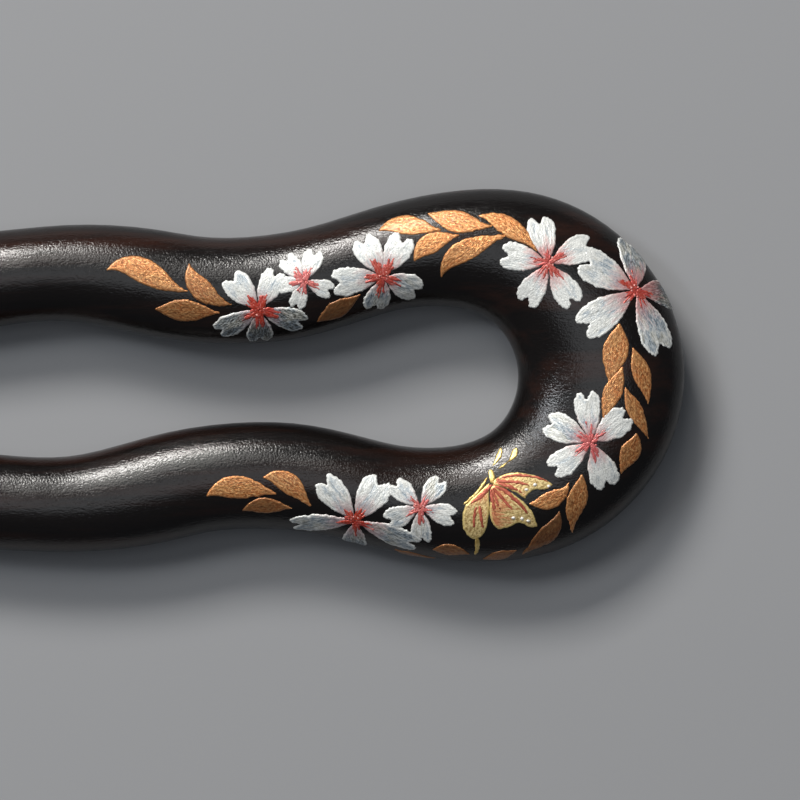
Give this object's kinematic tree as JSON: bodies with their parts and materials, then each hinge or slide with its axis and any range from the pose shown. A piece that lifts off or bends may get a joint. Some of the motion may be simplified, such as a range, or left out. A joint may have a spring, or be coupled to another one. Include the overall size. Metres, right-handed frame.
{
  "type": "hair fork",
  "caption": "Two-prong carved wooden hair fork with a closed, waisted loop head and raised hand-painted blossoms, leaves and a butterfly; it pins up a bun.",
  "frame": {"origin": "bottom centre of the overall bounding box: midway along the length and the width, on the plane the plain back rests on", "axes": "+X along the fork from the prong tips towards the closed head; +Y across the fork, towards the prong without the butterfly; +Z out of the painted face"},
  "size_m": [0.15, 0.038, 0.0092],
  "materials": {
    "wood": "near-black ebony, hand-rubbed to a satin polish, fine pores and faint brown streaks along the fork",
    "petal_paint": "silver-white pearl paint with brush ridges running up each petal",
    "stamen_paint": "metallic red paint in small dabs",
    "leaf_paint": "copper-gold metallic paint, sparkling, brushed along each leaf",
    "wing_paint": "yellow-gold metallic paint",
    "gold_paint": "pale gold metallic paint",
    "vein_paint": "red-brown metallic paint",
    "dot_paint": "white paint"
  },
  "bodies": {
    "root": {"fork_body": "wood", "blossom_neck_large_petals": "petal_paint", "blossom_neck_large_stamens": "stamen_paint", "blossom_neck_small_petals": "petal_paint", "blossom_neck_small_stamens": "stamen_paint", "blossom_shoulder_petals": "petal_paint", "blossom_shoulder_stamens": "stamen_paint", "blossom_head_top_petals": "petal_paint", "blossom_head_top_stamens": "stamen_paint", "blossom_crown_large_petals": "petal_paint", "blossom_crown_large_stamens": "stamen_paint", "blossom_crown_low_petals": "petal_paint", "blossom_crown_low_stamens": "stamen_paint", "blossom_prong_small_petals": "petal_paint", "blossom_prong_small_stamens": "stamen_paint", "blossom_prong_large_petals": "petal_paint", "blossom_prong_large_stamens": "stamen_paint", "leaves_prong_top": "leaf_paint", "leaf_neck": "leaf_paint", "leaves_shoulder": "leaf_paint", "leaves_crown": "leaf_paint", "leaves_head_low": "leaf_paint", "leaves_prong_low": "leaf_paint", "leaves_outer_edge": "leaf_paint", "butterfly_wings": "wing_paint", "butterfly_body": "gold_paint", "butterfly_antennae": "gold_paint", "butterfly_wing_veins": "vein_paint", "butterfly_wing_dots": "dot_paint"}
  },
  "joints": []
}
